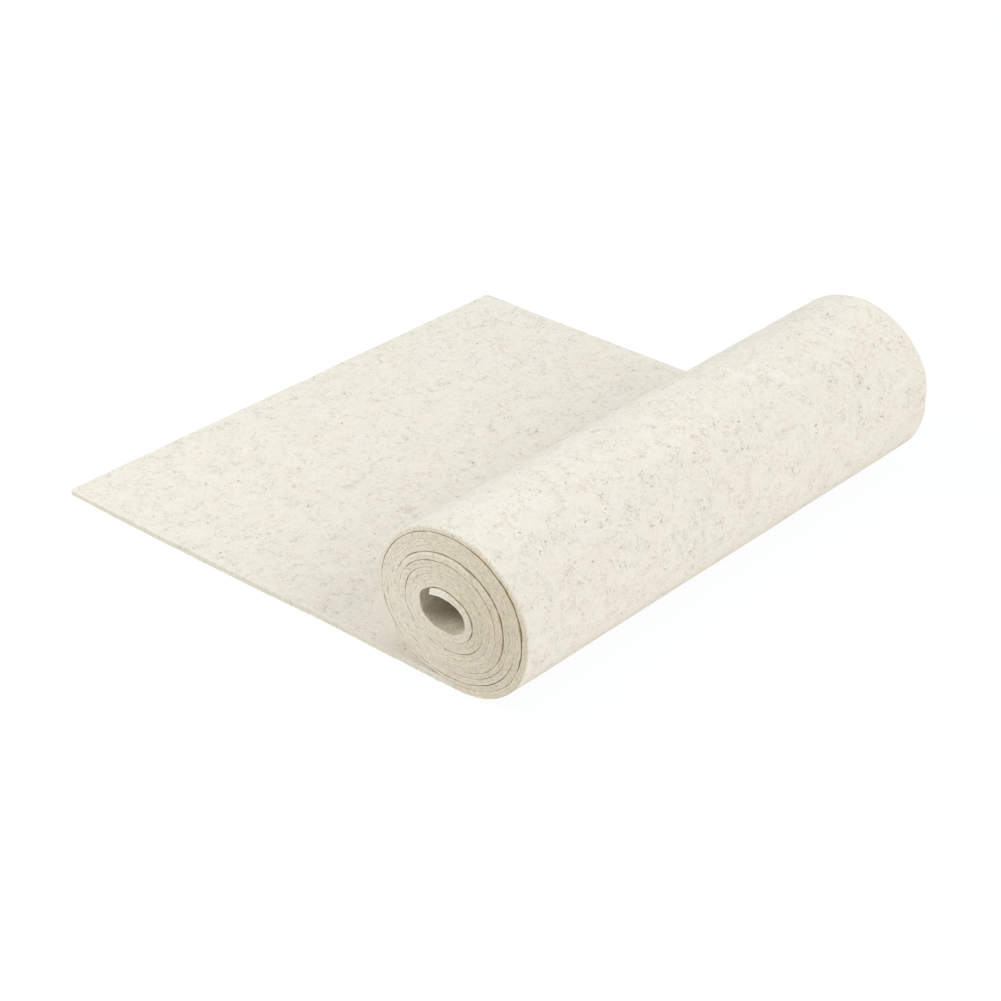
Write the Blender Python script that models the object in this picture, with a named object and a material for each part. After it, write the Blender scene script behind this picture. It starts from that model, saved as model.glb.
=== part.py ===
"""A roll of undyed wool felt, wound up on itself and lying on a flat surface, its outer end run out flat.

One cut length of felt, so one solid: the section of the wound sheet, swept across the width of the felt.
Seen from the near end (looking along +Y), the felt comes in flat from -X, passes under the roll, climbs
its right side, and winds inward counter-clockwise to a free inner tip at the upper left of the hollow.
Turns are counted outward from about that tip, clockwise: 0.12 is straight up, 0.37 right, 0.62 straight
down and 0.87 left, and whole turns are added for each wrap further out.
"""
import math

import bpy
import numpy as np

# Driving dimensions, in metres
WIDTH = 0.200               # cut width of the felt, along Y
FELT = 0.0021               # thickness of the felt where it lies free
PITCH = 0.00214             # growth of the roll's radius with each turn
FLAT_RUN = 0.1687           # from the roll's axis to the middle of the free end
END_SKEW = 0.0044           # how much further out the free end is at the near corner than at the far one
END_THICKNESS = 0.0017      # the felt thins a little towards the free end
END_TAPER = 0.045           # length over which it thins
HOLLOW_HALF_WIDTH = 0.00737     # of the parting line at the inner tip, the roll being flattened
HOLLOW_HALF_HEIGHT = 0.00447
CORE_REACH = 0.0042         # how far the core stands out past the flat run at the near end
NIP = 0.00008               # least air left between two wraps

# Turns, counted outward from just before the inner tip
TIP_ANGLE = math.radians(133)   # direction where the count starts, counter-clockwise from +X
TIP_TURN = 0.045                # where the felt itself starts, at its inner tip
LANDING_TURN = 9.619            # where the last wrap meets the floor and runs out flat
STEPS_PER_TURN = 46
FLAT_STEPS = 18

# How far the parting line on the inside of each wrap stands out from an even spiral, in mm,
# at seven directions round the roll. The last row is the outside of the last wrap.
DIRECTION_TURNS = (0.0, 0.12, 0.37, 0.50, 0.62, 0.75, 0.88)
UNEVEN = (
    # tip, top, right, low_right, bottom, low_left, left
    (1.40, 0.90, 0.75, 0.25, -0.85, -1.30, -1.00),
    (1.35, 1.35, 1.15, 1.20, 0.10, -1.15, -0.65),
    (1.10, 1.30, 0.85, 0.90, -0.10, -0.90, -0.45),
    (0.80, 0.90, 0.45, 0.65, -0.10, -0.30, 0.00),
    (0.65, 0.60, 0.25, 0.75, 0.70, 0.80, 0.65),
    (0.80, 0.45, 0.15, 0.90, 0.45, 0.60, 0.50),
    (0.85, 0.85, 0.55, 1.10, 0.15, 0.25, 0.40),
    (0.50, 0.65, 0.25, 0.80, -0.30, 0.00, 0.25),
    (0.20, 0.30, -0.05, 0.90, 0.15, 0.90, 0.60),
    (0.30, 0.25, 0.05, 0.95, -0.10, 0.45, 0.25),
    (0.00, 0.15, -0.20, 1.20, 0.00, 0.00, 0.00),
)

# Stretches of the parting line where the wraps stand apart: first turn, last turn, air in mm
LOOSE = (
    (1.03, 1.55, 0.35),
    (2.62, 3.02, 0.12),
    (3.40, 4.02, 0.16),
    (4.93, 5.48, 0.18),
    (5.90, 6.55, 0.40),
    (8.40, 9.52, 0.25),
    (8.62, 8.98, 0.60),
    (9.12, 9.48, 0.42),
)

# Wraps that were pushed along the axis, past or short of an even cone: turn, shift towards -Y in mm
SHIFTED = (
    (0.0, 0.3),
    (1.6, 0.0),
    (4.6, 0.0),
    (5.4, 0.5),
    (6.2, 0.0),
    (9.6, 0.0),
)

# The flat run's rise off the floor: distance from the roll's axis, rise near and far, in mm
RISE = (
    (0.0, 0.0, 0.0),
    (25.0, 0.15, 0.0),
    (52.0, 0.55, 0.15),
    (88.0, 0.0, 0.0),
    (135.0, 0.0, 0.0),
    (172.0, 0.55, 0.60),
)

MM = 0.001
SHEET_COLOUR = (0.84, 0.80, 0.71, 1.0)


def ease(position, knots, values):
    """Value at a position, eased level through each knot."""
    index = int(np.clip(np.searchsorted(knots, position) - 1, 0, len(knots) - 2))
    share = (position - knots[index]) / (knots[index + 1] - knots[index])
    share = min(max(share, 0.0), 1.0)
    share = share * share * (3 - 2 * share)
    return values[index] + (values[index + 1] - values[index]) * share


def column(table, index):
    return [row[index] for row in table]


def unevenness(turn):
    """Departure of the parting line from an even spiral, in metres."""
    knots = [wrap + part for wrap in range(len(UNEVEN)) for part in DIRECTION_TURNS]
    values = [value for row in UNEVEN for value in row]
    return ease(turn, knots, values) * MM


def air(turn):
    """Air across the parting line, in metres."""
    loose = 0.0
    for first, last, width in LOOSE:
        share = (turn - first) / (last - first)
        if 0 < share < 1:
            loose = max(loose, width * MM * min(1.0, 2.5 * math.sin(math.pi * share)))
    return NIP + loose


def edge_shift(turn):
    """How far towards -Y the felt lies at a turn: the roll is wound as a shallow cone."""
    cone = CORE_REACH * max(0.0, 1 - turn / LANDING_TURN)
    return cone + ease(turn, column(SHIFTED, 0), column(SHIFTED, 1)) * MM


def parting(turn, side):
    """A point of the parting line as (across, up) from the roll's axis.

    side is +1 for the face of the felt outside the line and -1 for the face inside it.
    """
    angle = TIP_ANGLE - turn * 2 * math.pi
    grown = PITCH * turn + unevenness(turn) + side * air(turn) / 2
    across = (HOLLOW_HALF_WIDTH + grown) * math.cos(angle)
    up = (HOLLOW_HALF_HEIGHT + grown) * math.sin(angle)
    return across, up


def wound_stretch():
    """The wound felt from tip to floor: (turn, inner face point, outer face point), from the axis."""
    count = round((LANDING_TURN - TIP_TURN) * STEPS_PER_TURN)
    rows = []
    for step in range(count + 1):
        turn = TIP_TURN + (LANDING_TURN - TIP_TURN) * step / count
        rows.append((turn, parting(turn, 1), parting(turn + 1, -1)))
    return rows


def flat_stretch(landing, is_near):
    """The flat run from the roll out to the free end: (top face point, under face point), z from floor."""
    start, top = landing
    end = -FLAT_RUN - (END_SKEW / 2 if is_near else -END_SKEW / 2)
    rise_column = 1 if is_near else 2
    rows = []
    for step in range(1, FLAT_STEPS + 1):
        share = step / FLAT_STEPS
        across = start + (end - start) * share
        rise = ease(-across / MM, column(RISE, 0), column(RISE, rise_column)) * MM
        settle = min(1.0, share * 4)
        thickness = top + (FELT - top) * settle
        to_end = min(1.0, (across - end) / END_TAPER)
        thickness -= (FELT - END_THICKNESS) * (1 - to_end) ** 2
        rows.append(((across, rise + thickness), (across, rise)))
    return rows


def section(is_near):
    """The whole sheet's section at one end of the roll, as rows of (y, inner point, outer point).

    The inner points run on into the flat run's top face, the outer points into its underside.
    """
    edge = -WIDTH / 2 if is_near else WIDTH / 2
    wound = wound_stretch()
    floor = wound[-1][2][1]
    rows = []
    for turn, inner, outer in wound:
        inner = (inner[0], inner[1] - floor)
        outer = (outer[0], max(outer[1] - floor, 0.0))
        rows.append((edge - edge_shift(turn), inner, outer))
    for top, under in flat_stretch(rows[-1][1], is_near):
        rows.append((edge, top, under))
    return rows


def sheet_mesh(name):
    """Sweep the section across the width, as one closed mesh standing on the floor, centred in X and Y."""
    near, far = section(True), section(False)
    points = []
    for rows in (near, far):
        points += [(inner[0], y, inner[1]) for y, inner, outer in rows]
        points += [(outer[0], y, outer[1]) for y, inner, outer in rows]
    points = np.array(points)
    middle = (points.min(axis=0) + points.max(axis=0)) / 2
    points -= (middle[0], middle[1], 0.0)

    count = len(near)
    near_in, near_out, far_in, far_out = 0, count, 2 * count, 3 * count
    faces = []
    for i in range(count - 1):
        j = i + 1
        faces.append((near_in + i, far_in + i, far_in + j, near_in + j))
        faces.append((near_out + i, near_out + j, far_out + j, far_out + i))
        faces.append((near_in + i, near_in + j, near_out + j, near_out + i))
        faces.append((far_in + i, far_out + i, far_out + j, far_in + j))
    last = count - 1
    faces.append((near_in, near_out, far_out, far_in))
    faces.append((near_in + last, far_in + last, far_out + last, near_out + last))

    mesh = bpy.data.meshes.new(name)
    mesh.from_pydata(points.tolist(), [], faces)
    mesh.validate()
    mesh.update()
    mesh.shade_smooth()
    mesh.set_sharp_from_angle(angle=math.radians(40))
    return mesh


def felt_material():
    material = bpy.data.materials.new("wool_felt")
    material.use_nodes = True
    shader = material.node_tree.nodes["Principled BSDF"]
    shader.inputs["Base Color"].default_value = SHEET_COLOUR
    shader.inputs["Roughness"].default_value = 0.95
    shader.inputs["Metallic"].default_value = 0.0
    return material


def clear_scene():
    for thing in list(bpy.data.objects):
        bpy.data.objects.remove(thing, do_unlink=True)


def main():
    clear_scene()
    mesh = sheet_mesh("felt_sheet")
    mesh.materials.append(felt_material())
    sheet = bpy.data.objects.new("felt_sheet", mesh)
    bpy.context.scene.collection.objects.link(sheet)


main()
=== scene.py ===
"""Looks for a roll of undyed wool felt: the wound sheet, its cut edges, flecks and fuzz, on a pale floor.

The felt is one closed sheet, rebuilt from the sizes of its solid with many more rows, soft cut edges and
a slight unevenness, and fine stray fibres lie on it. Turns are counted outward from about the inner
tip, clockwise as seen from the near end (-Y): 0.12 is straight up, 0.37 right, 0.62 down and 0.87 left.
"""
import math

import bpy
import numpy as np
from mathutils import Matrix, Vector


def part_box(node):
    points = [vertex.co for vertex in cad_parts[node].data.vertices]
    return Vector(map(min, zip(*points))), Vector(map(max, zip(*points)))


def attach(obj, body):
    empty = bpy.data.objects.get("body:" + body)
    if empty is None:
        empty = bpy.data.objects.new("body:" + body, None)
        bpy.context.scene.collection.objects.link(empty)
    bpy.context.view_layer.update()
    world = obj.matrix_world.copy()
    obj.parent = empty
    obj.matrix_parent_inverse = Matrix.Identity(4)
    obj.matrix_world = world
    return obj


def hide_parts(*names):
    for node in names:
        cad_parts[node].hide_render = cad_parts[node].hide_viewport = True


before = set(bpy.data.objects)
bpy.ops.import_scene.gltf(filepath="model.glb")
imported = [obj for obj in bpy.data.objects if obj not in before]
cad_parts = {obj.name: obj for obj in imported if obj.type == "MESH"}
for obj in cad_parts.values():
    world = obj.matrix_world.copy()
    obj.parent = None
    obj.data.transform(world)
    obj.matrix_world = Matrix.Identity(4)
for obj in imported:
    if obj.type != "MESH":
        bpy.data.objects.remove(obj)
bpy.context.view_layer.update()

MM = 0.001

# Driving dimensions, in metres: those of the solid, but for a finer inner tip
WIDTH = 0.200               # cut width of the felt, along Y
FELT = 0.0021               # thickness of the felt where it lies free
PITCH = 0.00214             # growth of the roll's radius with each turn
FLAT_RUN = 0.1687           # from the roll's axis to the middle of the free end
END_SKEW = 0.0044           # how much further out the free end is at the near corner than at the far one
END_THICKNESS = 0.0017      # the felt thins a little towards the free end
END_TAPER = 0.045           # length over which it thins
HOLLOW_HALF_WIDTH = 0.00737     # of the parting line at the inner tip, the roll being flattened
HOLLOW_HALF_HEIGHT = 0.00447
CORE_REACH = 0.0042         # how far the core stands out past the flat run at the near end
TIP_ANGLE = math.radians(133)   # direction where the count of turns starts, counter-clockwise from +X
TIP_TURN = 0.040                # where the felt starts on its inner face
TIP_SLANT = 0.014               # how much later, in turns, it starts on its outer face
SLANT_REACH = 2.5               # how many slants further on it has eased off
LANDING_TURN = 9.619            # where the last wrap meets the floor and runs out flat
OUTSIDE = (LANDING_TURN - 1.04, LANDING_TURN - 0.05)    # first and last turn of the outside of the roll
OUTSIDE_SOFT = 0.14             # turns over which the outside's own features fade in and out
LANDING_SOFT = 0.1              # turns over which the cut edge changes to that of the flat run
SETTLE_SHARE = 0.25             # share of the flat run over which it settles to its free thickness

# How far the parting line on the inside of each wrap stands out from an even spiral, in mm, at eight
# directions round the roll. The last row is the outside of the last wrap. This table is finer than the
# solid's: the lines lie 0.15 mm from the solid's on average, and 0.7 mm at most, near the tip.
DIRECTION_TURNS = (0.0, 0.12, 0.26, 0.37, 0.50, 0.62, 0.75, 0.88)
UNEVEN = (
    # tip, top, upper_right, right, low_right, bottom, low_left, left
    (1.65, 1.40, 1.50, 1.10, 0.15, -0.85, -1.30, -1.05),
    (1.20, 1.80, 1.65, 1.35, 1.10, 0.10, -1.15, -0.65),
    (1.35, 1.70, 1.40, 0.95, 0.85, -0.10, -0.90, -0.45),
    (1.00, 1.25, 1.00, 0.50, 0.60, -0.05, -0.30, 0.00),
    (0.85, 1.05, 0.85, 0.35, 0.65, 0.60, 0.70, 0.65),
    (1.00, 0.95, 0.85, 0.35, 0.55, 0.40, 0.55, 0.50),
    (1.05, 1.20, 1.00, 0.55, 0.95, 0.15, 0.25, 0.40),
    (0.70, 0.90, 0.60, 0.25, 0.65, -0.10, 0.10, 0.35),
    (0.45, 0.60, 0.35, 0.00, 0.75, 0.30, 0.65, 0.85),
    (0.40, 0.45, 0.25, 0.00, 0.85, 0.00, 0.45, 0.35),
    (0.00, 0.10, -0.10, -0.20, 1.20, 0.00, 0.00, 0.00),
)

# Air across the parting line between two wraps, which are pressed together but for some loose stretches:
# turn, air in mm
AIR = (
    (0.99, 0.02), (1.07, 0.20), (1.15, 0.24), (1.38, 0.20), (1.52, 0.06), (1.65, 0.02),
    (2.60, 0.02), (2.72, 0.12), (2.94, 0.12), (3.04, 0.02),
    (3.36, 0.02), (3.42, 0.08), (3.54, 0.16), (3.94, 0.20), (4.06, 0.02),
    (4.66, 0.02), (4.80, 0.08), (5.02, 0.12), (5.24, 0.14), (5.44, 0.02),
    (5.88, 0.02), (5.96, 0.12), (6.06, 0.14), (6.18, 0.26), (6.38, 0.24), (6.47, 0.08), (6.58, 0.03),
    (6.92, 0.02), (7.02, 0.03), (7.16, 0.02), (7.40, 0.02), (7.50, 0.10), (7.66, 0.10), (7.80, 0.02),
    (8.40, 0.02), (8.50, 0.16), (8.64, 0.26), (8.80, 0.32), (8.92, 0.20), (9.00, 0.12), (9.10, 0.14),
    (9.22, 0.27), (9.38, 0.27), (9.48, 0.06), (9.56, 0.02),
)
AIR_SWELL = 0.18            # how much the air swells and shrinks along a gap, as a share of it
MOST_AIR_SWELL = 1.5        # the waves that it swells by are cut off at this height
MM_PER_TURN = 100           # along the felt, near enough for those waves
STAND_OUT = 0.8             # how far a wrap stands out past the next beside a gap, as a share of the air

# Wraps that were pushed along the axis, past or short of an even cone: turn, shift towards -Y in mm
SHIFTED = (
    (0.0, 0.3),
    (1.6, 0.0),
    (4.6, 0.0),
    (5.4, 0.5),
    (6.2, 0.0),
    (9.6, 0.0),
)

# The flat run's rise off the floor: distance from the roll's axis, rise near and far, in mm
RISE = (
    (0.0, 0.0, 0.0),
    (25.0, 0.15, 0.0),
    (52.0, 0.55, 0.15),
    (88.0, 0.0, 0.0),
    (135.0, 0.0, 0.0),
    (172.0, 0.55, 0.45),
)

# How far the wraps flare out over the last stretch before the far end, the outermost the most: part of a
# turn, mm
FLARE = (
    (0.0, 0.0),
    (0.06, 0.3),
    (0.12, 0.7),
    (0.21, 0.3),
    (0.30, 0.0),
    (0.37, -0.4),
    (0.48, 0.0),
    (1.0, 0.0),
)
FLARE_FROM = 0.87           # share of the width where the flare starts

# Slight unevenness, as random waves: shortest and longest wave in mm, seed, height in mm
AIR_WAVES = (2, 9, 11)              # of the air in the gaps, with the height given above
OUTSIDE_SWELL = (9, 30, 3, 0.07)    # of the outside of the roll
FLAT_DIP = (12, 36, 5, 0.05)        # of the flat run's top face
RAGGED_CUT = (1.5, 9, 7, 0.05)      # of both cut edges
DIP_FADE = (0.01, 0.03)             # where the dips start and are full, in metres out from the roll

# Paler stretches of the cut edge at the end of the roll: first turn, last turn, then the share of the
# thickness where they start and end, counted from the inner face, and the strength
PALE = (
    (-0.2, 0.26, -0.5, 1.5, 0.90),
    (-0.2, 0.75, -0.5, 1.5, 0.42),
    (-0.2, 0.85, -0.5, 0.35, 0.50),
    (4.85, 5.32, 0.45, 1.5, 0.50),
    (8.55, 9.40, 0.30, 1.5, 0.45),
)
PALE_SOFT = (0.15, 0.3)     # how soft their ends are, in turns and in shares of the thickness
PALE_SIDE = 0.46            # how pale the cut edge is on the roll's left
PALE_SIDE_TURN = 0.82       # where it is palest

# Stray fibres on the open faces and the cut edges
FIBRES = 4200
FIBRE_LENGTH = (0.8, 2.6)       # in mm
FIBRE_RADIUS = 0.026            # in mm
FIBRE_LIFT = (0.05, 0.60)       # how far the middle of a fibre stands off the felt, in mm
FIBRE_CURL = 0.35               # how far it bows aside, as a share of its length
FIBRE_POINTS = 6
FIBRE_SIDES = 3
FIBRE_SEED = 21
LOWEST_FACE = -0.5              # none lie where the Z of the felt's normal is less than this

# The map that the looks are baked through: a square of this side in mm, and the parts of the felt on it,
# each by its left and lower edge and its scale along and across the felt. The open faces are as large as
# the map holds, and the cut edges lie in rows, one above the other.
MAP_SIDE = 352.0
MAP_PARTS = {
    "top": (1.0, 1.0, 0.98, 0.98),
    "outside": (171.0, 1.0, 0.98, 0.98),
    "near_edge": (2.0, 200.0, 1.4, 1.4),
    "far_edge": (2.0, 236.0, 1.4, 1.4),
    "under": (1.0, 272.5, 0.40, 0.36),
    "hollow": (72.0, 272.5, 0.40, 0.36),
    "inner": (94.0, 272.5, 0.12, 0.36),
    "outer": (222.0, 272.5, 0.10, 0.36),
    "tip_cap": (1.0, 345.8, 0.98, 1.0),
    "end_cap": (1.0, 349.0, 0.98, 1.0),
}
MAP_ROW = 242.0             # length of the cut edge in one row of the map, in mm
MAP_ROW_HEIGHT = 4.2
MAP_ROW_FOOT = 1.0          # how far the inner face's corner lies above the row's foot
MAP_OUTSIDE_TURN = LANDING_TURN - 1.03      # where the outer face comes out into the open
MAP_CELL = (0.05, 0.9)      # margin and width of a fibre in its cell of its own map

# Rows and points of the dressed sheet
ROWS_PER_TURN = 112
FLAT_ROWS = 70
FACE_POINTS = 18            # across each face, from edge to edge
ARC_POINTS = 5              # round each corner of a cut edge
EDGE_POINTS = 3             # on the flat of a cut edge, between its corners
EDGE_REACH = ARC_POINTS + EDGE_POINTS // 2      # steps from a cut edge's middle to a face
TIP_OFFSETS = (0.0, 0.0005, 0.0018, 0.0042)                 # extra rows at the inner tip, in turns
END_OFFSETS = (0.0010, 0.00055, 0.00028, 0.00012, 0.00004, 0.0)     # last rows by the free end, in metres
BESIDE_EDGE = 0.0011        # how far the colour of a cut edge runs on into a gap

# Radii of the corners of the cut edges, in metres
PRESSED_CORNER = 0.00003    # between wraps that are pressed together
LOOSE_CORNER = 0.00030      # beside a gap
LOOSE_AIR = 0.00040         # the air at which a corner is as round as beside a gap
OPEN_CORNER = 0.00070       # on the outside of the roll
HOLLOW_CORNER = 0.00030     # round the open middle
FLAT_CORNER = 0.00035       # along the flat run
END_ROUNDING = 0.00045      # of the two ends, on edge
END_CORNER = 0.0013         # the two corners of the free end, seen from above
MOST_CORNER = 0.45          # share of the thickness that a corner may take

# Camera, in the frame of the roll's axis on the floor, at the middle of the felt's width
CAMERA_PLACE = (0.4610, -0.5915, 0.4544)
CAMERA_AZIMUTH = math.radians(41.93)
CAMERA_ELEVATION = math.radians(30.12)
CAMERA_ROLL = math.radians(-0.30)
SENSOR = 36.0
LENS = SENSOR * 2763 / 1001     # the focal length is 2763 pixels of the 1001-pixel frame
CLIP = (0.05, 50.0)             # nearest and farthest that it sees, in metres

# Colours of the light, the felt's faces, its flecks, its cut edges, and the shade painted into its gaps
COOL_WHITE = (0.965, 1.0, 1.035)
FELT_COLOUR = (0.810, 0.747, 0.645, 1.0)
WARM_CLOUD = (0.803, 0.732, 0.622, 1.0)
COOL_CLOUD = (0.785, 0.734, 0.630, 1.0)
GRAIN_DARK = (0.725, 0.660, 0.555, 1.0)
GRAIN_LIGHT = (0.865, 0.812, 0.712, 1.0)
LIGHT_HAIR = (0.880, 0.835, 0.735, 1.0)
FIBRE_TAN = (0.700, 0.610, 0.480, 1.0)
GREY_HAIR = (0.430, 0.368, 0.292, 1.0)
BROWN_HAIR = (0.460, 0.365, 0.250, 1.0)
DARK_HAIR = (0.185, 0.150, 0.115, 1.0)
CUT_COLOUR = (0.700, 0.610, 0.450, 1.0)
CUT_WARM = (0.700, 0.602, 0.432, 1.0)
CUT_GREY = (0.670, 0.585, 0.456, 1.0)
CUT_PALE = (0.840, 0.780, 0.680, 1.0)
CUT_DARK = (0.370, 0.315, 0.215, 1.0)
CUT_LIGHT = (0.840, 0.775, 0.650, 1.0)
PAINTED_GAP_SHADE = (0.470, 0.370, 0.195, 1.0)     # painted shade on the faces in the gaps between the wraps and on the cut edges' corners beside them
HOLLOW_SHADE = 0.43         # share of the painted gap shade on the face round the open middle
FLAT_EDGE = 0.40            # share of the cut colour on the edges of the flat run
END_EDGE = 0.8              # share of the cut colour on the two ends
EDGE_FADE = 1.5             # how steeply the cut colour fades out round an open corner
GAP_SHADE_FADE = 3               # pressed corners' depths over which a cut edge's corner takes on the painted gap shade

# Soft clouds of colour on the faces and on the cut edges: offset of the noise in mm, its scale, the
# values where a cloud starts and is full, colour
CLOUD_DETAIL = 3.0
FACE_CLOUDS = (
    ((40.0, 9.0, 0.0), 0.07, (0.42, 0.66), WARM_CLOUD),
    ((7.0, 90.0, 0.0), 0.09, (0.42, 0.66), COOL_CLOUD),
)
CUT_CLOUDS = (
    ((0.0, 0.0, 0.0), 0.12, (0.38, 0.62), CUT_WARM),
    ((31.0, 17.0, 5.0), 0.20, (0.45, 0.62), CUT_GREY),
)

# Grain of the faces and mottle of the cut edges: the noise's scale, detail and roughness, then the values
# where the dark and the light parts are full, their strength and colour
FACE_GRAIN = (0.42, 4.0, 0.80)
FACE_GRAIN_PARTS = ((0.30, 0.45, GRAIN_DARK), (0.70, 0.45, GRAIN_LIGHT))
CUT_MOTTLE = (0.75, 4.0, 0.80)
CUT_MOTTLE_PARTS = ((0.26, 0.85, CUT_DARK), (0.72, 0.90, CUT_LIGHT))

# Noises that the rest is drawn with: scale, detail, and roughness where it isn't the usual one. A reach
# is the two values of the noise between which a strength rises, then the strength at each.
WANDER = (0.7, 2.0)         # pushes the strands and flecks about, so that they curl
WANDER_PUSH = 1.7           # how far, in mm
CROWD = (0.15, 4.0, 0.7)    # gathers them into crowds
CROWD_REACH = (0.38, 0.60, 0.08, 0.92)
FRAY = (0.9, 3.0, 0.7)      # frays the border of the cut colour
FRAY_PUSH = 0.7
SHADE_TUFTS = (0.9, 4.0, 0.75)    # lighter and darker tufts in the painted shade of the gaps
SHADE_TUFT_REACH = (0.36, 0.62, 0.55, 1.30)
FUZZ = (2.6, 3.0, 0.7)      # fine relief of all surfaces
FUZZ_HEIGHT = 0.10          # in mm, as is the lumps'
LUMPS = (0.45, 2.0)         # coarse relief
LUMP_HEIGHT = 0.26
RELIEF = 0.6                # strength of the two together
FIBRE_SHADE = (400.0, 2.0)  # tells one stray fibre's colour from the next one's; to the metre
FACES_APART = 73.0          # how far apart in the noises the two faces lie, in mm
CUT_STRETCH = 0.55          # scale of the fibre ends' places along a cut edge, which draws them out
SECTION_STRETCH = 2.2       # scale of the mottle's places through the wraps, with the same effect

# Long curly strands on the faces, drawn along the contour lines of a noise: its scale, the half width of
# a strand as a share of the noise's range, seed, strength, colour
STRANDS = (
    (0.30, 0.020, 11, 0.66, GREY_HAIR),
    (0.42, 0.026, 12, 0.58, BROWN_HAIR),
    (0.22, 0.014, 13, 0.62, GREY_HAIR),
    (0.60, 0.032, 14, 0.50, GREY_HAIR),
)
STRAND_DETAIL = (2.5, 0.60)         # detail and roughness of that noise
STRAND_CORE = 0.2                   # share of the half width that is drawn in full
STRAND_BREAKS = (0.8, 3.0, 0.6)     # the noise that breaks them: scale as a share of theirs, and so on
BREAK_OFFSET = (57.0, 13.0, 0.0)
BREAK_REACH = (0.48, 0.60)

# Flecks on the faces: cell that holds one, half length and half width in mm, share of the cells,
# seed, strength, colour. The light hairs are drawn the same way under them.
LIGHT_HAIRS = (2.20, 1.00, 0.20, 0.70, 5, 0.40, LIGHT_HAIR)
FLECKS = (
    (1.60, 0.45, 0.14, 0.50, 3, 0.42, GREY_HAIR),
    (2.10, 0.50, 0.15, 0.50, 4, 0.42, BROWN_HAIR),
    (2.70, 0.60, 0.17, 0.60, 2, 0.62, GREY_HAIR),
    (3.60, 0.55, 0.19, 0.55, 6, 0.62, BROWN_HAIR),
    (4.60, 0.60, 0.23, 0.50, 1, 0.88, DARK_HAIR),
)

# How far out a hair is drawn in full: share of its half width, of its half length, and of the chance
HAIR_CORE = (0.3, 0.55, 0.2)

# Dark fibre ends on the cut edges: cell, half length, half width, share, seed, strength
CUT_SPECKS = (
    (1.1, 0.38, 0.17, 0.60, 8, 0.28),
    (1.9, 0.50, 0.20, 0.60, 9, 0.42),
)

# Lamps: name, place and width in metres, power in watts. Each faces the middle of the part.
LAMPS = (
    ("overhead", (0.1, 0.4, 1.7), 1.2, 5.5),
    ("front_left", (-0.70, -0.70, 0.84), 0.8, 8.8),
    ("right", (1.22, 0.10, 0.86), 0.9, 9.2),
)
WORLD_STRENGTH = 0.46
FLOOR_REACH = 6.0           # from the middle of the part to each side of the floor, in metres
FLOOR_DROP = 0.0002         # how far it lies below the felt, so that the two don't fight
FLOOR_COLOUR = (0.10, 0.10, 0.10, 1.0)
FLOOR_GLOW = (0.98, 0.99, 1.0, 1.0)
FLOOR_GLOW_STRENGTH = 0.92


def ease(position, knots, values):
    """Values at the positions, eased level through each knot."""
    knots = np.asarray(knots, float)
    values = np.asarray(values, float)
    index = np.clip(np.searchsorted(knots, position) - 1, 0, len(knots) - 2)
    share = np.clip((position - knots[index]) / (knots[index + 1] - knots[index]), 0, 1)
    share = share * share * (3 - 2 * share)
    return values[index] + (values[index + 1] - values[index]) * share


def column(table, index):
    return [row[index] for row in table]


def unevenness(turn):
    """Departure of the parting line from an even spiral, in metres."""
    knots = [wrap + part for wrap in range(len(UNEVEN)) for part in DIRECTION_TURNS]
    values = [value for row in UNEVEN for value in row]
    return ease(turn, knots, values) * MM


def air(turn):
    """Air across the parting line, in metres."""
    even = ease(turn, column(AIR, 0), column(AIR, 1)) * MM
    swell = waves(turn * MM_PER_TURN, turn * 0, *AIR_WAVES)
    return even * (1 + AIR_SWELL * np.clip(swell, -MOST_AIR_SWELL, MOST_AIR_SWELL))


def edge_shift(turn, side):
    """How far towards -Y the felt lies beside the parting line: the roll is wound as a shallow cone."""
    cone = CORE_REACH * np.maximum(0.0, 1 - turn / LANDING_TURN)
    pushed = ease(turn, column(SHIFTED, 0), column(SHIFTED, 1)) * MM
    return cone + pushed + (air(turn) * STAND_OUT if side < 0 else 0.0)


def parting(turn, side):
    """Points of the parting line as (across, up) from the roll's axis.

    side is +1 for the face of the felt outside the line and -1 for the face inside it.
    """
    angle = TIP_ANGLE - turn * 2 * math.pi
    grown = PITCH * turn + unevenness(turn) + side * air(turn) / 2
    across = (HOLLOW_HALF_WIDTH + grown) * np.cos(angle)
    up = (HOLLOW_HALF_HEIGHT + grown) * np.sin(angle)
    return np.stack([across, up], axis=1)


def waves(along, across, shortest, longest, seed, height=1.0):
    """Gentle random swell of about the given height over the sheet, from waves of given lengths in mm."""
    rng = np.random.default_rng(seed)
    total = np.zeros(np.broadcast(along, across).shape)
    count = 14
    for _ in range(count):
        heading = rng.uniform(0, 2 * math.pi)
        length = rng.uniform(shortest, longest)
        phase = rng.uniform(0, 2 * math.pi)
        path = along * math.cos(heading) + across * math.sin(heading)
        total += np.sin(2 * math.pi * path / length + phase)
    return total / math.sqrt(count / 2) * height


def smooth_step(value, low, high):
    share = np.clip((value - low) / (high - low), 0, 1)
    return share * share * (3 - 2 * share)


def window(value, first, last, soft):
    """1 between first and last and 0 outside, with soft ends inside them."""
    return smooth_step(value, first, first + soft) * (1 - smooth_step(value, last - soft, last))


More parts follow.
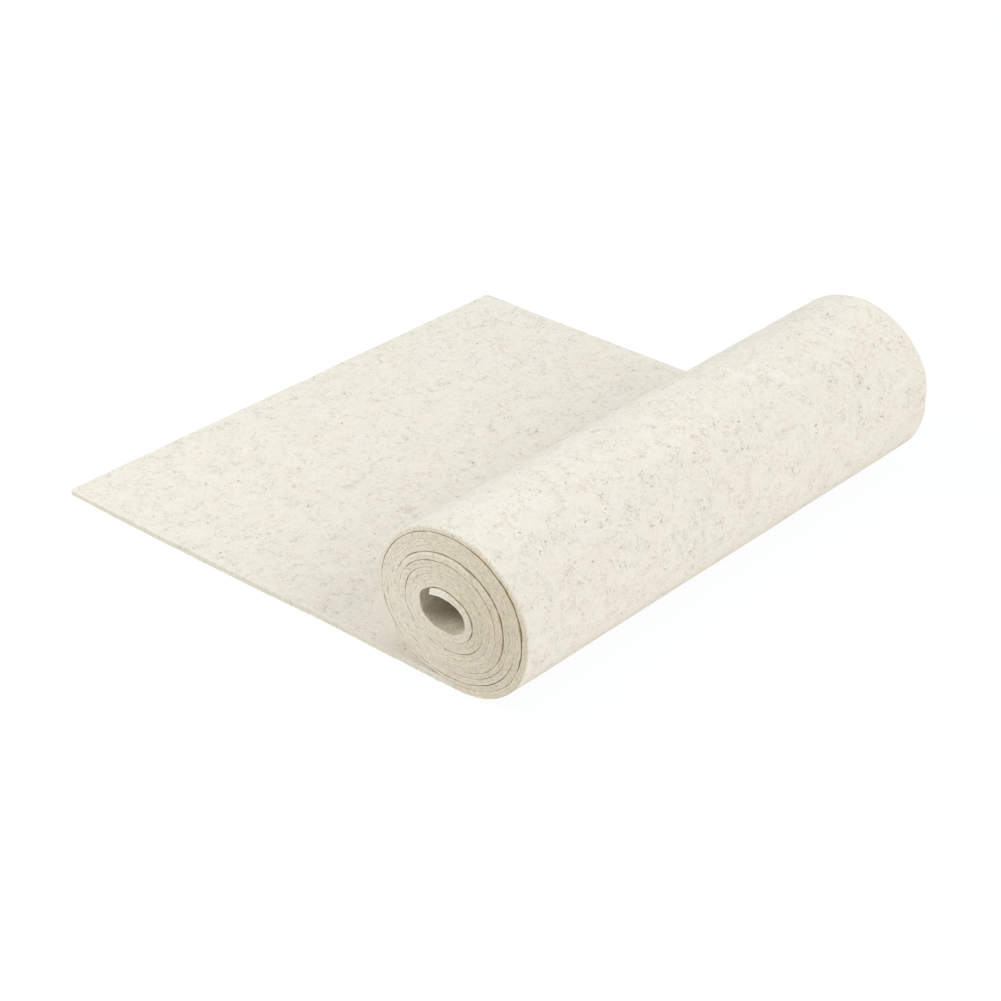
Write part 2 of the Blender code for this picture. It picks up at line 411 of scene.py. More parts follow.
class Rows:
    """The felt row by row, from the inner tip to the free end, as arrays that its mesh is made from."""

    def __init__(self):
        wound = round((LANDING_TURN - TIP_TURN) * ROWS_PER_TURN)
        even = np.linspace(TIP_TURN, LANDING_TURN, wound + 1)[1:]
        turn = np.concatenate([TIP_TURN + np.array(TIP_OFFSETS), even])
        slanted = turn + TIP_SLANT * np.clip(1 - (turn - TIP_TURN) / (SLANT_REACH * TIP_SLANT), 0, 1)
        inner = parting(turn, 1)
        outer = parting(slanted + 1, -1)
        floor = outer[-1, 1]
        inner[:, 1] -= floor
        outer[:, 1] = np.maximum(outer[:, 1] - floor, 0.0)

        flat = [self.flat_stretch(inner[-1], is_near) for is_near in (True, False)]
        self.inner = [np.concatenate([inner, top]) for top, under in flat]
        self.outer = [np.concatenate([outer, under]) for top, under in flat]
        still = np.zeros(len(flat[0][0]))
        self.turn = np.concatenate([turn, still + LANDING_TURN])
        self.wound = len(turn)
        self.count = len(self.turn)

        middle = (self.inner[0] + self.outer[0]) / 2
        steps = np.hypot(*np.diff(middle, axis=0).T)
        self.length = np.concatenate([[0], np.cumsum(steps)])
        self.to_end = self.length[-1] - self.length
        self.thickness = np.hypot(*(self.outer[0] - self.inner[0]).T)
        self.shift_in = np.concatenate([edge_shift(turn, 1), still])
        self.shift_out = np.concatenate([edge_shift(slanted + 1, -1), still])

    @staticmethod
    def flat_stretch(landing, is_near):
        """The flat run from the roll out to the free end: top face points and underside points."""
        start, top = landing
        end = -FLAT_RUN - (END_SKEW / 2 if is_near else -END_SKEW / 2)
        even = np.arange(1, FLAT_ROWS) / FLAT_ROWS
        share = np.concatenate([even, 1 - np.array(END_OFFSETS) / (start - end)])
        across = start + (end - start) * share
        rise = ease(-across / MM, column(RISE, 0), column(RISE, 1 if is_near else 2)) * MM
        thickness = top + (FELT - top) * np.minimum(1.0, share / SETTLE_SHARE)
        to_end = np.minimum(1.0, (across - end) / END_TAPER)
        thickness = thickness - (FELT - END_THICKNESS) * (1 - to_end) ** 2
        return np.stack([across, rise + thickness], axis=1), np.stack([across, rise], axis=1)

    def outside(self):
        """1 where the outer face is the outside of the roll, 0 elsewhere."""
        return window(self.turn, *OUTSIDE, OUTSIDE_SOFT)

    def corners(self):
        """Radius of the cut edge's corner at the inner face and at the outer face, for each row."""
        def beside(gap):
            return PRESSED_CORNER + (LOOSE_CORNER - PRESSED_CORNER) * np.clip(gap / LOOSE_AIR, 0, 1)

        at_inner = np.where(self.turn < 1, HOLLOW_CORNER, beside(air(self.turn)))
        at_outer = beside(air(self.turn + 1))
        at_outer = at_outer + (OPEN_CORNER - at_outer) * self.outside()
        is_flat = smooth_step(self.turn, LANDING_TURN - LANDING_SOFT, LANDING_TURN)
        at_inner = at_inner + (FLAT_CORNER - at_inner) * is_flat
        at_outer = at_outer + (FLAT_CORNER - at_outer) * is_flat
        most = self.thickness * MOST_CORNER
        return np.minimum(at_inner, most), np.minimum(at_outer, most)

    def open_faces(self):
        """1 where the inner and the outer face lie open, 0 where they face the next wrap."""
        is_flat = (self.turn >= LANDING_TURN).astype(float)
        return is_flat, np.maximum(is_flat, self.outside())


def edge_profile(corner_in, corner_out, thickness):
    """Points round one cut edge from the inner face to the outer face, for each row.

    Gives the depth behind the cut and the distance from the inner face, as arrays of row by point.
    """
    arc = np.linspace(0, math.pi / 2, ARC_POINTS)
    depth_in = corner_in[:, None] * (1 - np.sin(arc))
    through_in = corner_in[:, None] * (1 - np.cos(arc))
    depth_out = corner_out[:, None] * (1 - np.sin(arc[::-1]))
    through_out = thickness[:, None] - corner_out[:, None] * (1 - np.cos(arc[::-1]))
    share = np.arange(1, EDGE_POINTS + 1) / (EDGE_POINTS + 1)
    start = through_in[:, -1:]
    end = through_out[:, :1]
    through_mid = start + (end - start) * share
    depth_mid = np.zeros_like(through_mid)
    depth = np.concatenate([depth_in, depth_mid, depth_out], axis=1)
    through = np.concatenate([through_in, through_mid, through_out], axis=1)
    return depth, through


def sheet_loops(rows):
    """Every row's loop of points round the sheet's cross-section: (across, through, cut, deep) arrays.

    across is the distance from the near cut edge, through the distance from the inner face, both in
    metres. cut is 1 on the cut edges, and just past them in the gaps, and 0 on the faces. The last
    array is painted shade: 1 on the faces that lie in a gap, less round the open middle, rising into
    the cut edges' corners beside them, and 0 on the rest.
    """
    corner_in, corner_out = rows.corners()
    depth, through = edge_profile(corner_in, corner_out, rows.thickness)
    face = np.concatenate([[0.0], np.arange(1, FACE_POINTS) / FACE_POINTS, [1.0]])
    margin_in, margin_out = corner_in[:, None] + BESIDE_EDGE, corner_out[:, None] + BESIDE_EDGE
    outer_face = margin_out + (WIDTH - 2 * margin_out) * face
    inner_face = margin_in + (WIDTH - 2 * margin_in) * face[::-1]
    across = np.concatenate([depth, outer_face, WIDTH - depth[:, ::-1], inner_face], axis=1)
    thick = np.repeat(rows.thickness[:, None], len(face), axis=1)
    through = np.concatenate([through, thick, through[:, ::-1], np.zeros_like(thick)], axis=1)

    points = depth.shape[1]
    open_in, open_out = rows.open_faces()
    share = np.linspace(0, 1, points)
    lies_open = open_in[:, None] * (share < 0.5) + open_out[:, None] * (share >= 0.5)
    deepest = np.maximum(depth.max(axis=1, keepdims=True), 1e-9)
    on_edge = np.clip(EDGE_FADE - EDGE_FADE * depth / deepest, 0, 1)
    on_edge = 1 - lies_open * (1 - on_edge)
    on_edge = on_edge * (1 - (1 - FLAT_EDGE) * open_in[:, None])
    on_face = np.zeros((rows.count, len(face)))
    cut = np.concatenate([on_edge, on_face, on_edge[:, ::-1], on_face], axis=1)

    # Painted shade: full on faces that face the next wrap, less round the open middle, rising into
    # corners beside them
    closed_in, closed_out = 1 - open_in, 1 - open_out
    closed_in = closed_in * np.where(rows.turn < 1, HOLLOW_SHADE, 1.0)
    closed = closed_in[:, None] * (share < 0.5) + closed_out[:, None] * (share >= 0.5)
    behind = np.clip(depth / PRESSED_CORNER / GAP_SHADE_FADE, 0, 1) * closed
    painted_shade_out, painted_shade_in = on_face + closed_out[:, None], on_face + closed_in[:, None]
    painted_shade = np.concatenate([behind, painted_shade_out, behind[:, ::-1], painted_shade_in], axis=1)
    return [np.roll(part, -(points // 2), axis=1) for part in (across, through, cut, painted_shade)]


def rounded_ends(rows, across, through):
    """Soften the felt's two ends on edge, and the free end's two corners seen from above."""
    bite = np.clip(1 - rows.to_end / END_CORNER, 0, 1)
    bite = END_CORNER * (1 - np.sqrt(1 - bite ** 2))
    across = across + (WIDTH / 2 - across) * (bite / (WIDTH / 2))[:, None]
    middle = rows.thickness[:, None] / 2
    for distance in (rows.length, rows.to_end):
        thin = np.clip(1 - distance / END_ROUNDING, 0, 1)
        thin = 1 - 2 * END_ROUNDING / rows.thickness * (1 - np.sqrt(1 - thin ** 2))
        through = middle + (through - middle) * thin[:, None]
    return across, through


def sheet_points(rows, across, through):
    """World positions of every point of every row."""
    share = (across / WIDTH)[..., None]
    inner = rows.inner[0][:, None] * (1 - share) + rows.inner[1][:, None] * share
    outer = rows.outer[0][:, None] * (1 - share) + rows.outer[1][:, None] * share
    part = (through / rows.thickness[:, None])[..., None]
    section = inner + (outer - inner) * part

    along_mm = rows.length[:, None] / MM
    across_mm = across / MM
    way = (outer - inner) / np.linalg.norm(outer - inner, axis=2, keepdims=True)
    swell = waves(along_mm, across_mm, *OUTSIDE_SWELL) * MM
    section = section + way * (swell * rows.outside()[:, None] * part[..., 0])[..., None]
    fade = rows.length[rows.wound] + np.array(DIP_FADE)
    is_flat = smooth_step(rows.length, *fade)
    dip = waves(along_mm, across_mm, *FLAT_DIP) * MM
    section = section - way * (dip * is_flat[:, None] * (1 - part[..., 0]))[..., None]

    angle = TIP_ANGLE - rows.turn * 2 * math.pi
    outward = np.stack([np.cos(angle), np.sin(angle)], axis=1)
    flare = ease(rows.turn % 1, column(FLARE, 0), column(FLARE, 1)) * MM
    flare = flare * (rows.turn < LANDING_TURN)
    spread = ((rows.turn[:, None] + part[..., 0]) / (LANDING_TURN + 0.5)) ** 2
    flare = flare[:, None] * spread * smooth_step(share[..., 0], FLARE_FROM, 1.0)
    section = section + outward[:, None] * flare[..., None]

    ragged = waves(along_mm, across_mm * 0, *RAGGED_CUT) * MM
    shift = rows.shift_in[:, None] + (rows.shift_out - rows.shift_in)[:, None] * part[..., 0]
    y = across - WIDTH / 2 - shift + ragged
    return np.stack([section[..., 0], y, section[..., 1]], axis=2)


def pale_edges(rows, through):
    """How pale the cut edge is at each point, from 0 to 1."""
    part = through / rows.thickness[:, None]
    turn = rows.turn[:, None]
    side = (1 + np.cos(2 * math.pi * (turn - PALE_SIDE_TURN))) / 2
    pale = PALE_SIDE * side * (turn < LANDING_TURN) + np.zeros(through.shape)
    turn_soft, part_soft = PALE_SOFT
    for first, last, low_part, high_part, strength in PALE:
        here = window(turn, first, last, turn_soft) * window(part, low_part, high_part, part_soft)
        pale = np.maximum(pale, strength * here)
    return pale


def map_place(part, along, across):
    """Place on the map of points of one of its parts, from their places on the felt in mm."""
    left, low, along_scale, across_scale = MAP_PARTS[part]
    return np.stack([left + along * along_scale, low + across * across_scale], axis=-1) / MAP_SIDE


def bake_map(rows, across, through):
    """The map's coordinates for each corner of the faces between rows, then of the two caps."""
    loop = across.shape[1]
    length = rows.length / MM

    def corners(values):
        right = np.roll(values, -1, axis=1)
        return np.stack([values[:-1], values[1:], right[1:], right[:-1]], axis=-1)

    along = corners(np.repeat(length[:, None], loop, axis=1))
    wide = corners(across / MM)
    depth = np.minimum(across, WIDTH - across)
    inside = np.where(through < rows.thickness[:, None] / 2, -1, 1)
    round_edge = corners((through + depth * inside) / MM)

    point = np.arange(loop)[None]
    half = loop // 2
    is_near = (point < EDGE_REACH) | (point >= loop - EDGE_REACH)
    is_far = (point >= half - EDGE_REACH) & (point < half + EDGE_REACH)
    is_outer = (point < half) & ~is_near & ~is_far
    is_inner = (point >= half) & ~is_near & ~is_far
    turn = rows.turn[:-1, None]
    row = np.floor(length[:-1, None, None] / MAP_ROW)
    along_row = along - row * MAP_ROW
    up_rows = row * MAP_ROW_HEIGHT + round_edge + MAP_ROW_FOOT

    def since(first_turn):
        return along - length[np.searchsorted(rows.turn, first_turn)]

    landing = LANDING_TURN - 1e-6
    is_flat = turn >= landing
    is_open = turn >= MAP_OUTSIDE_TURN
    places = np.zeros(along.shape + (2,))
    for part, here, part_along, part_across in (
            ("near_edge", is_near, along_row, up_rows),
            ("far_edge", is_far, along_row, up_rows),
            ("top", is_inner & is_flat, since(landing), wide),
            ("under", is_outer & is_flat, since(landing), wide),
            ("outside", is_outer & is_open & ~is_flat, since(MAP_OUTSIDE_TURN), wide),
            ("outer", is_outer & ~is_open, since(0.0), wide),
            ("hollow", is_inner & (turn < 1), since(0.0), wide),
            ("inner", is_inner & (turn >= 1) & ~is_flat, since(1.0), wide)):
        here = np.broadcast_to(here, along.shape[:2])
        places[here] = map_place(part, part_along, part_across)[here]
    places = [places.reshape(-1, 2)]
    tip = cap_faces(loop)
    for part, row, faces in (("tip_cap", 0, tip), ("end_cap", -1, reversed_faces(tip))):
        on_cap = map_place(part, across[row] / MM, through[row] / MM)
        places += [on_cap[list(face)] for face in faces]
    return np.concatenate(places)


def cap_faces(loop):
    """Faces that close the first row's loop of points: one over each cut edge, and strips between."""
    half = loop // 2
    near_edge = [index % loop for index in range(-EDGE_REACH, EDGE_REACH + 1)]
    far_edge = list(range(half - EDGE_REACH, half + EDGE_REACH + 1))
    pair = np.arange(EDGE_REACH, half - EDGE_REACH)
    strip = np.stack([pair, pair + 1, loop - 1 - pair, loop - pair], axis=1).tolist()
    return [near_edge, *strip, far_edge]


def reversed_faces(faces):
    return [tuple(reversed(face)) for face in faces]


def felt_sheet(rows):
    """The whole felt as one closed mesh, with its own coordinates kept as attributes."""
    across, through, cut, painted_shade = sheet_loops(rows)
    across, through = rounded_ends(rows, across, through)
    points = sheet_points(rows, across, through)
    points += PLACE
    points[..., 2] = np.maximum(points[..., 2], 0.0)
    count, loop = points.shape[:2]

    index = np.arange(count * loop).reshape(count, loop)
    right = np.roll(index, -1, axis=1)
    quads = np.stack([index[:-1], index[1:], right[1:], right[:-1]], axis=-1).reshape(-1, 4)
    tip = cap_faces(loop)
    last = (count - 1) * loop
    end = [tuple(last + corner for corner in face) for face in reversed_faces(tip)]
    faces = quads.tolist() + tip + end

    mesh = bpy.data.meshes.new("felt_roll")
    mesh.from_pydata(points.reshape(-1, 3).tolist(), [], faces)
    mesh.update()
    mesh.shade_smooth()

    layer = mesh.uv_layers.new(name="OFBake")
    layer.uv.foreach_set("vector", bake_map(rows, across, through).reshape(-1).astype(np.float32))
    along = np.repeat(rows.length[:, None], loop, axis=1)
    turns = rows.turn[:, None] + through / rows.thickness[:, None]
    section = np.stack([points[..., 0], turns * PITCH * SECTION_STRETCH, points[..., 2]], axis=2)
    near_end = np.minimum(rows.length, rows.to_end)[:, None]
    cut = np.maximum(cut, (1 - smooth_step(near_end, 0, END_ROUNDING)) * END_EDGE)
    # Attributes: the sheet's own coordinates, places for the mottle, the cut edges, the painted shade and
    # the paler stretches
    for name, kind, key, values in (
            ("sheet", "FLOAT_VECTOR", "vector", np.stack([across, along, through], axis=2) / MM),
            ("section", "FLOAT_VECTOR", "vector", section / MM),
            ("cut", "FLOAT", "value", cut),
            ("painted_shade", "FLOAT", "value", painted_shade),
            ("pale", "FLOAT", "value", pale_edges(rows, through))):
        layer = mesh.attributes.new(name, kind, "POINT")
        layer.data.foreach_set(key, values.reshape(-1).astype(np.float32))
    return mesh


def stray_fibres(mesh):
    """Fine curved fibres that lie loose on the felt, as one mesh of thin closed tubes.

    Their roots are drawn evenly by area from the parts of the sheet that lie open.
    """
    rng = np.random.default_rng(FIBRE_SEED)
    count = len(mesh.vertices)
    place, normal = np.empty(count * 3), np.empty(count * 3)
    mesh.vertices.foreach_get("co", place)
    mesh.vertices.foreach_get("normal", normal)
    place, normal = place.reshape(-1, 3), normal.reshape(-1, 3)
    # The painted shade marks the faces in the gaps and round the open middle; no fibre lies there
    painted_shade = np.empty(count, np.float32)
    mesh.attributes["painted_shade"].data.foreach_get("value", painted_shade)

    corners = np.array([face.vertices[:3] for face in mesh.polygons])
    area = np.array([face.area for face in mesh.polygons])
    is_open = (painted_shade[corners].max(axis=1) == 0) & (normal[corners[:, 0], 2] > LOWEST_FACE)
    chosen = rng.choice(len(area), FIBRES, p=area * is_open / (area * is_open).sum())
    share = rng.dirichlet((1, 1, 1), FIBRES)
    root = (place[corners[chosen]] * share[..., None]).sum(axis=1)
    up = (normal[corners[chosen]] * share[..., None]).sum(axis=1)
    up /= np.linalg.norm(up, axis=1, keepdims=True)

    along = np.cross(up, rng.normal(size=(FIBRES, 3)))
    along /= np.linalg.norm(along, axis=1, keepdims=True)
    aside = np.cross(up, along)
    length = rng.uniform(*FIBRE_LENGTH, FIBRES) * MM
    lift = rng.uniform(*FIBRE_LIFT, FIBRES) * MM
    curl = rng.uniform(-FIBRE_CURL, FIBRE_CURL, FIBRES) * length
    part = np.linspace(0, 1, FIBRE_POINTS)
    bow = np.sin(math.pi * part)
    ahead = along[:, None] * (length[:, None] * (part - 0.5))[..., None]
    raised = up[:, None] * (lift[:, None] * bow)[..., None]
    bent = aside[:, None] * (curl[:, None] * bow)[..., None]
    path = root[:, None] + ahead + raised + bent

    turn = np.arange(FIBRE_SIDES) * 2 * math.pi / FIBRE_SIDES
    ring = up[:, None] * np.cos(turn)[:, None] + aside[:, None] * np.sin(turn)[:, None]
    points = path[:, :, None] + ring[:, None] * FIBRE_RADIUS * MM
    points[..., 2] = np.maximum(points[..., 2], FIBRE_RADIUS * MM)

    index = np.arange(FIBRES * FIBRE_POINTS * FIBRE_SIDES).reshape(FIBRES, FIBRE_POINTS, FIBRE_SIDES)
    right = np.roll(index, -1, axis=2)
    quads = np.stack([index[:, :-1], index[:, 1:], right[:, 1:], right[:, :-1]], axis=-1).reshape(-1, 4)
    faces = quads.tolist() + index[:, 0].tolist() + index[:, -1, ::-1].tolist()
    fibres = bpy.data.meshes.new("felt_fibres")
    fibres.from_pydata(points.reshape(-1, 3).tolist(), [], faces)
    fibres.update()
    fibres.shade_smooth()

    layer = fibres.uv_layers.new(name="OFBake")
    layer.uv.foreach_set("vector", fibre_map().astype(np.float32))
    return fibres


def fibre_map():
    """The fibres' map coordinates, each fibre in a cell of a grid: first all the sides, then the tips."""
    per_side = math.ceil(math.sqrt(FIBRES))
    cell = np.stack(np.divmod(np.arange(FIBRES), per_side), axis=-1)
    corner = np.array([(0, 0), (1, 0), (1, 1), (0, 1)])
    step = np.stack(np.indices((FIBRE_POINTS - 1, FIBRE_SIDES)), axis=-1)
    side = (step[:, :, None] + corner) / (FIBRE_POINTS, FIBRE_SIDES)
    cap = np.array([(0, 0), (0, 1), (1, 0)]) / (FIBRE_POINTS, FIBRE_SIDES)
    tip = cap + ((FIBRE_POINTS - 1) / FIBRE_POINTS, 0)
    margin, width = MAP_CELL
    spots = []
    for part in (side, tip, tip):
        in_cell = part.reshape(-1, 2) * width + margin
        spots.append((cell[:, None] + in_cell) / per_side)
    return np.concatenate([part.reshape(-1) for part in spots])


def fibre_material():
    """Pale wool fibre, each a little lighter or browner than the next."""
    material = bpy.data.materials.new("wool_fibre_looks")
    material.use_nodes = True
    tree = material.node_tree
    shader = tree.nodes["Principled BSDF"]
    place = node(tree, "TexCoord").outputs["Object"]
    shade = ramp(tree, noise(tree, place, *FIBRE_SHADE), 0.35, 0.65)
    tree.links.new(blend(tree, shade, FIBRE_TAN, LIGHT_HAIR), shader.inputs["Base Color"])
    shader.inputs["Roughness"].default_value = 0.8
    shader.inputs["Specular IOR Level"].default_value = 0.2
    return material


def node(tree, kind, inputs=None, **settings):
    """Add a shader node, set its values, and link or set its inputs."""
    made = tree.nodes.new("ShaderNode" + kind)
    for name, value in settings.items():
        setattr(made, name, value)
    for key, value in (inputs or {}).items():
        if isinstance(value, bpy.types.NodeSocket):
            tree.links.new(value, made.inputs[key])
        else:
            made.inputs[key].default_value = value
    return made


def math_of(tree, operation, *values):
    """Output of a Math node."""
    return node(tree, "Math", dict(enumerate(values)), operation=operation).outputs[0]


def vector_of(tree, operation, *values):
    """Output of a Vector Math node."""
    return node(tree, "VectorMath", dict(enumerate(values)), operation=operation).outputs[0]


def ramp(tree, value, low, high, to_low=0.0, to_high=1.0):
    """Smoothly map value from low..high to to_low..to_high."""
    inputs = {"Value": value, "From Min": low, "From Max": high, "To Min": to_low, "To Max": to_high}
    return node(tree, "MapRange", inputs, interpolation_type="SMOOTHSTEP").outputs[0]


def noise(tree, place, scale, detail=2.0, roughness=0.5):
    """Value of a noise texture whose cells are about 1 / scale across."""
    inputs = {"Vector": place, "Scale": scale, "Detail": detail, "Roughness": roughness}
    return node(tree, "TexNoise", inputs, noise_dimensions="3D").outputs["Fac"]


def blend(tree, factor, first, second):
    """Mix of two colours."""
    made = tree.nodes.new("ShaderNodeMix")
    made.data_type = "RGBA"
    for key, value in ((0, factor), (6, first), (7, second)):
        if isinstance(value, bpy.types.NodeSocket):
            tree.links.new(value, made.inputs[key])
        else:
            made.inputs[key].default_value = value
    return made.outputs[2]


def hairs(tree, place, cell, half_length, half_width, share, seed):
    """Mask of short curved hairs, at most one to a cell of the given size, all in mm."""
    moved = vector_of(tree, "ADD", place, (seed * 31.7, seed * 17.3, 0.0))
    cells = node(tree, "TexVoronoi", {"Vector": moved, "Scale": 1 / cell}, voronoi_dimensions="2D")
    local = vector_of(tree, "SUBTRACT", moved, cells.outputs["Position"])
    chance = node(tree, "SeparateColor", {0: cells.outputs["Color"]})
    angle = math_of(tree, "MULTIPLY", chance.outputs[0], 2 * math.pi)
    turned = node(tree, "VectorRotate", {"Vector": local, "Angle": angle}, rotation_type="Z_AXIS")
    apart = node(tree, "SeparateXYZ", {0: turned.outputs[0]})
    reach = math_of(tree, "ABSOLUTE", apart.outputs[0])
    bend = math_of(tree, "SUBTRACT", chance.outputs[1], 0.5)
    bow = math_of(tree, "MULTIPLY", math_of(tree, "MULTIPLY", reach, reach), bend)
    off = math_of(tree, "ABSOLUTE", math_of(tree, "SUBTRACT", apart.outputs[1], bow))
    width_core, length_core, share_core = HAIR_CORE
    thin = ramp(tree, off, half_width * width_core, half_width, 1.0, 0.0)
    ends = ramp(tree, reach, half_length * length_core, half_length, 1.0, 0.0)
    drawn = math_of(tree, "MULTIPLY", thin, ends)
    present = ramp(tree, chance.outputs[2], share * share_core, share, 1.0, 0.0)
    return math_of(tree, "MULTIPLY", drawn, present)


def strands(tree, place, scale, half_width, seed):
    """Mask of long curly strands: the contour lines of a noise, broken by a second one."""
    moved = vector_of(tree, "ADD", place, (seed * 23.1, seed * 41.9, 0.0))
    field = noise(tree, moved, scale, *STRAND_DETAIL)
    off = math_of(tree, "ABSOLUTE", math_of(tree, "SUBTRACT", field, 0.5))
    line = ramp(tree, off, half_width * STRAND_CORE, half_width, 1.0, 0.0)
    aside = vector_of(tree, "ADD", moved, BREAK_OFFSET)
    scale_share, *detail = STRAND_BREAKS
    unbroken = ramp(tree, noise(tree, aside, scale * scale_share, *detail), *BREAK_REACH)
    return math_of(tree, "MULTIPLY", line, unbroken)


def clouded(tree, place, colour, clouds):
    """Colour with soft clouds of other colours."""
    for offset, scale, reach, tint in clouds:
        moved = vector_of(tree, "ADD", place, offset)
        colour = blend(tree, ramp(tree, noise(tree, moved, scale, CLOUD_DETAIL), *reach), colour, tint)
    return colour


def grained(tree, place, colour, texture, parts):
    """Colour with a grain of other colours, each from the middle of the noise's range outward."""
    grain = noise(tree, place, *texture)
    for full, strength, tint in parts:
        colour = blend(tree, ramp(tree, grain, 0.50, full, 0.0, strength), colour, tint)
    return colour


def felt_faces(tree, on_face):
    """Colour of the felt's two faces: faint clouds, fine grain, and curly strands and flecks."""
    face = clouded(tree, on_face, FELT_COLOUR, FACE_CLOUDS)
    face = grained(tree, on_face, face, FACE_GRAIN, FACE_GRAIN_PARTS)
    *shape, strength, colour = LIGHT_HAIRS
    face = blend(tree, math_of(tree, "MULTIPLY", hairs(tree, on_face, *shape), strength), face, colour)

    scale, detail = WANDER
    inputs = {"Vector": on_face, "Scale": scale, "Detail": detail}
    wander = node(tree, "TexNoise", inputs, noise_dimensions="3D").outputs["Color"]
    push = vector_of(tree, "SCALE", vector_of(tree, "SUBTRACT", wander, (0.5, 0.5, 0.5)))
    push.node.inputs["Scale"].default_value = WANDER_PUSH
    curly = vector_of(tree, "ADD", on_face, push)
    crowd = ramp(tree, noise(tree, on_face, *CROWD), *CROWD_REACH)
    drawn = [(strands(tree, curly, *shape), strength, colour) for *shape, strength, colour in STRANDS]
    drawn += [(hairs(tree, curly, *shape), strength, colour) for *shape, strength, colour in FLECKS]
    for mask, strength, colour in drawn:
        veil = math_of(tree, "MULTIPLY", crowd, strength)
        face = blend(tree, math_of(tree, "MULTIPLY", mask, veil), face, colour)
    return face


def felt_cuts(tree, section, pale, on_cut):
    """Colour of the cut edges: browner and more mottled than the faces, with dark fibre ends."""
    edge = clouded(tree, section, CUT_COLOUR, CUT_CLOUDS)
    edge = blend(tree, pale, edge, CUT_PALE)
    edge = grained(tree, section, edge, CUT_MOTTLE, CUT_MOTTLE_PARTS)
    for *shape, strength in CUT_SPECKS:
        specks = hairs(tree, on_cut, *shape)
        edge = blend(tree, math_of(tree, "MULTIPLY", specks, strength), edge, CUT_DARK)
    return edge


def felt_material():
    """Undyed wool felt: cream with flecks, browner where it is cut."""
    material = bpy.data.materials.new("wool_felt_looks")
    material.use_nodes = True
    tree = material.node_tree
    shader = tree.nodes["Principled BSDF"]

    place = node(tree, "Attribute", attribute_name="sheet").outputs["Vector"]
    section = node(tree, "Attribute", attribute_name="section").outputs["Vector"]
    cut = node(tree, "Attribute", attribute_name="cut").outputs["Fac"]
    pale = node(tree, "Attribute", attribute_name="pale").outputs["Fac"]
    painted_shade = node(tree, "Attribute", attribute_name="painted_shade").outputs["Fac"]
    across, along, through = node(tree, "SeparateXYZ", {0: place}).outputs
    side = ramp(tree, through, 0.9, 1.1, 0.0, FACES_APART)
    on_face = node(tree, "CombineXYZ", {0: across, 1: along, 2: side}).outputs[0]
    drawn_out = math_of(tree, "MULTIPLY", along, CUT_STRETCH)
    on_cut = node(tree, "CombineXYZ", {0: drawn_out, 1: through, 2: 0.0}).outputs[0]

    frayed = math_of(tree, "SUBTRACT", noise(tree, place, *FRAY), 0.5)
    frayed = math_of(tree, "ADD", cut, math_of(tree, "MULTIPLY", frayed, FRAY_PUSH))
    is_cut = math_of(tree, "MULTIPLY", ramp(tree, frayed, 0.15, 0.85), ramp(tree, cut, 0.0, 0.12))
    colour = blend(tree, is_cut, felt_faces(tree, on_face), felt_cuts(tree, section, pale, on_cut))
    # Painted shade: a brown shade colour over the faces in the gaps, round the open middle and on the
    # corners beside them
    shade_tufts = ramp(tree, noise(tree, place, *SHADE_TUFTS), *SHADE_TUFT_REACH)
    colour = blend(tree, math_of(tree, "MULTIPLY", painted_shade, shade_tufts), colour, PAINTED_GAP_SHADE)
    tree.links.new(colour, shader.inputs["Base Color"])

    fuzz = math_of(tree, "MULTIPLY", noise(tree, place, *FUZZ), FUZZ_HEIGHT)
    lumps = math_of(tree, "MULTIPLY", noise(tree, on_face, *LUMPS), LUMP_HEIGHT)
    height = math_of(tree, "ADD", fuzz, lumps)
    bump = node(tree, "Bump", {"Height": height, "Strength": RELIEF, "Distance": MM})
    tree.links.new(bump.outputs[0], shader.inputs["Normal"])
    shader.inputs["Roughness"].default_value = 0.95
    shader.inputs["Specular IOR Level"].default_value = 0.15
    shader.inputs["Sheen Weight"].default_value = 0.10
    shader.inputs["Sheen Roughness"].default_value = 0.6
    return material


def dressed(name, mesh, material):
    """A piece of the felt, in its place on the part."""
    mesh.materials.append(material)
    piece = bpy.data.objects.new(name, mesh)
    bpy.context.scene.collection.objects.link(piece)
    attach(piece, "root")
    return piece


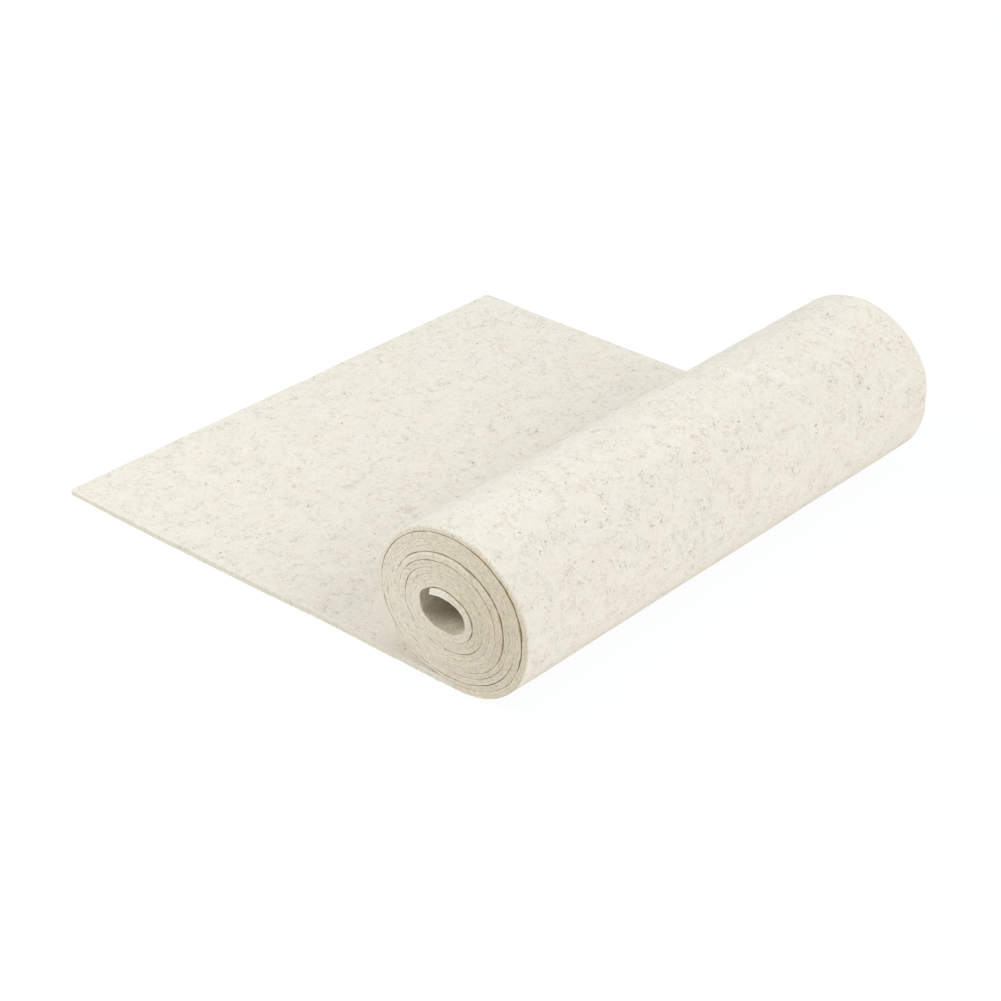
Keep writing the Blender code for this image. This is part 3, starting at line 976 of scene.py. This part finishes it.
def pale_floor():
    """A plain white floor, wide enough to fill any view, that glows evenly like a light table."""
    mesh = bpy.data.meshes.new("floor")
    corners = [(-1, -1), (1, -1), (1, 1), (-1, 1)]
    points = [(x * FLOOR_REACH, y * FLOOR_REACH, -FLOOR_DROP) for x, y in corners]
    mesh.from_pydata(points, [], [(0, 1, 2, 3)])
    material = bpy.data.materials.new("pale_floor")
    material.use_nodes = True
    shader = material.node_tree.nodes["Principled BSDF"]
    shader.inputs["Base Color"].default_value = FLOOR_COLOUR
    shader.inputs["Roughness"].default_value = 0.9
    shader.inputs["Specular IOR Level"].default_value = 0.0
    shader.inputs["Emission Color"].default_value = FLOOR_GLOW
    shader.inputs["Emission Strength"].default_value = FLOOR_GLOW_STRENGTH
    mesh.materials.append(material)
    floor = bpy.data.objects.new("floor", mesh)
    bpy.context.scene.collection.objects.link(floor)


def area_light(name, place, width, power):
    """A round lamp that faces the middle of the part."""
    light = bpy.data.lights.new(name, "AREA")
    light.shape = "DISK"
    light.size = width
    light.energy = power
    light.color = COOL_WHITE
    lamp = bpy.data.objects.new(name, light)
    lamp.location = place
    lamp.rotation_euler = (-Vector(place)).to_track_quat("-Z", "Y").to_euler()
    bpy.context.scene.collection.objects.link(lamp)


def soft_studio():
    """Soft light from all round, with more from the front left, the right and overhead."""
    world = bpy.data.worlds.new("studio")
    bpy.context.scene.world = world
    world.use_nodes = True
    backdrop = world.node_tree.nodes["Background"]
    backdrop.inputs["Color"].default_value = COOL_WHITE + (1.0,)
    backdrop.inputs["Strength"].default_value = WORLD_STRENGTH
    for lamp in LAMPS:
        area_light(*lamp)
    view = bpy.context.scene.view_settings
    view.view_transform = "Standard"
    view.look = "None"


def camera():
    """The camera at the photograph's angle."""
    lens = bpy.data.cameras.new("camera")
    lens.sensor_fit = "HORIZONTAL"
    lens.sensor_width = SENSOR
    lens.lens = LENS
    lens.clip_start, lens.clip_end = CLIP
    eye = bpy.data.objects.new("camera", lens)
    heading = Matrix.Rotation(CAMERA_AZIMUTH, 4, "Z")
    tilt = Matrix.Rotation(math.pi / 2 - CAMERA_ELEVATION, 4, "X")
    roll = Matrix.Rotation(CAMERA_ROLL, 4, "Z")
    eye.matrix_world = Matrix.Translation(Vector(CAMERA_PLACE) + Vector(PLACE)) @ heading @ tilt @ roll
    bpy.context.scene.collection.objects.link(eye)
    bpy.context.scene.camera = eye


# From the frame of the roll's axis to the part's own frame: the free end and the far cut edge are shared
low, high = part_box("felt_sheet")
PLACE = np.array([low.x + FLAT_RUN + END_SKEW / 2, high.y - WIDTH / 2, 0.0])

felt_rows = Rows()
felt = dressed("felt_roll", felt_sheet(felt_rows), felt_material())
fibres = dressed("felt_fibres", stray_fibres(felt.data), fibre_material())
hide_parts("felt_sheet")

pale_floor()
soft_studio()
camera()
